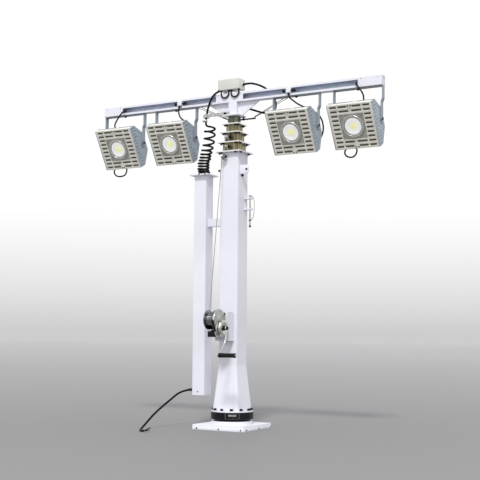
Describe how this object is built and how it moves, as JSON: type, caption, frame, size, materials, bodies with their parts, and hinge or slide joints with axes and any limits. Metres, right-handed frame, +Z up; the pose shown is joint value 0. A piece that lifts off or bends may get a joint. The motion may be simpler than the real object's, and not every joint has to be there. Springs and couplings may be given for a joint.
{
  "type": "telescopic light mast",
  "caption": "Hand-winched square telescopic mast on a slewing base, with a cross beam of tilting floodlights, a cable duct and a coiled supply cord.",
  "frame": {"origin": "centre of the base plate's underside, on the floor", "axes": "+Z up along the mast, +X along the cross beam, the floodlights face -Y"},
  "size_m": [2.04, 0.6949, 2.219],
  "materials": {
    "white_paint": "gloss",
    "black_ring": "satin",
    "galvanised": "satin",
    "passivated_tube": "satin",
    "winch_steel": "satin",
    "bright_steel": "satin",
    "grip_plastic": "gloss",
    "box_plastic": "matte",
    "cord_rubber": "matte",
    "yoke_paint": "satin",
    "lamp_casting": "matte",
    "lens_glass": "gloss"
  },
  "bodies": {
    "base": {"base_plate": "white_paint", "slew_ring": "black_ring"},
    "column": {"mast_foot": "white_paint", "outer_tube": "white_paint", "cable_duct": "white_paint", "duct_bracket": "white_paint", "mains_gland": "grip_plastic", "mains_cable": "cord_rubber", "winch_bracket": "white_paint", "winch_frame": "winch_steel", "winch_rope": "bright_steel", "rope_pulley": "galvanised", "guy_lug": "white_paint", "guide_bolts": "winch_steel", "pin_holder": "galvanised", "coil_cable": "cord_rubber"},
    "drum": {"winch_drum": "winch_steel"},
    "crank": {"crank": "bright_steel"},
    "grip": {"crank_grip": "grip_plastic"},
    "pin": {"lock_pin": "bright_steel"},
    "stage_2": {"stage_2": "passivated_tube"},
    "stage_3": {"stage_3": "passivated_tube"},
    "stage_4": {"stage_4": "passivated_tube"},
    "head": {"stage_5": "passivated_tube", "head_bracket": "white_paint", "cable_arm": "galvanised", "stay_hook": "galvanised", "stay_wires": "bright_steel", "cross_beam": "white_paint", "beam_cover_left": "white_paint", "beam_cover_middle": "white_paint", "beam_cover_right": "white_paint", "box_bracket": "white_paint", "junction_box": "box_plastic", "yoke_1": "yoke_paint", "yoke_2": "yoke_paint", "yoke_3": "yoke_paint", "yoke_4": "yoke_paint", "lamp_lead_1": "cord_rubber", "lamp_lead_2": "cord_rubber", "lamp_lead_3": "cord_rubber", "lamp_lead_4": "cord_rubber", "arm_lead": "cord_rubber", "box_loop_left": "cord_rubber", "box_loop_right": "cord_rubber", "beam_cable": "cord_rubber", "tee_blocks": "box_plastic"},
    "lamp_1": {"lamp_1": "lamp_casting", "lens_1": "lens_glass"},
    "lamp_2": {"lamp_2": "lamp_casting", "lens_2": "lens_glass"},
    "lamp_3": {"lamp_3": "lamp_casting", "lens_3": "lens_glass"},
    "lamp_4": {"lamp_4": "lamp_casting", "lens_4": "lens_glass"}
  },
  "joints": [
    {"name": "mast_slew", "type": "hinge", "parent": "base", "child": "column", "pos_m": [0, 0, 0.107], "axis": [0, 0, 1], "range_deg": [-180, 180]},
    {"name": "stage_2_lift", "type": "slide", "parent": "column", "child": "stage_2", "axis": [0, 0, 1], "range_m": [0, 1.15]},
    {"name": "stage_3_lift", "type": "slide", "parent": "column", "child": "stage_3", "axis": [0, 0, 1], "range_m": [0, 2.3]},
    {"name": "stage_4_lift", "type": "slide", "parent": "column", "child": "stage_4", "axis": [0, 0, 1], "range_m": [0, 3.45]},
    {"name": "head_lift", "type": "slide", "parent": "column", "child": "head", "axis": [0, 0, 1], "range_m": [0, 4.6], "deforming": ["coil_cable"]},
    {"name": "drum_spin", "type": "hinge", "parent": "column", "child": "drum", "pos_m": [0, -0.21, 0.674], "axis": [1, 0, 0], "continuous": true},
    {"name": "crank_spin", "type": "hinge", "parent": "column", "child": "crank", "pos_m": [0.073, -0.21, 0.622], "axis": [1, 0, 0], "continuous": true},
    {"name": "grip_spin", "type": "hinge", "parent": "crank", "child": "grip", "pos_m": [0.1, -0.3035, 0.46005], "axis": [1, 0, 0], "continuous": true},
    {"name": "lock_pin_slide", "type": "slide", "parent": "column", "child": "pin", "axis": [0, 0, 1], "range_m": [0, 0.16]},
    {"name": "lamp_1_tilt", "type": "hinge", "parent": "head", "child": "lamp_1", "pos_m": [-0.858, 0, 1.866], "axis": [1, 0, 0], "range_deg": [-30, 60], "deforming": ["lamp_lead_1"]},
    {"name": "lamp_2_tilt", "type": "hinge", "parent": "head", "child": "lamp_2", "pos_m": [-0.444, 0, 1.866], "axis": [1, 0, 0], "range_deg": [-30, 60], "deforming": ["lamp_lead_2"]},
    {"name": "lamp_3_tilt", "type": "hinge", "parent": "head", "child": "lamp_3", "pos_m": [0.444, 0, 1.866], "axis": [1, 0, 0], "range_deg": [-30, 60], "deforming": ["lamp_lead_3"]},
    {"name": "lamp_4_tilt", "type": "hinge", "parent": "head", "child": "lamp_4", "pos_m": [0.858, 0, 1.866], "axis": [1, 0, 0], "range_deg": [-30, 60], "deforming": ["lamp_lead_4"]}
  ],
  "couplings": [
    {"joint": "stage_3_lift", "follows": "head_lift", "ratio": 0.5},
    {"joint": "stage_4_lift", "follows": "head_lift", "ratio": 0.75},
    {"joint": "stage_2_lift", "follows": "head_lift", "ratio": 0.25},
    {"joint": "crank_spin", "follows": "drum_spin", "ratio": -4}
  ]
}
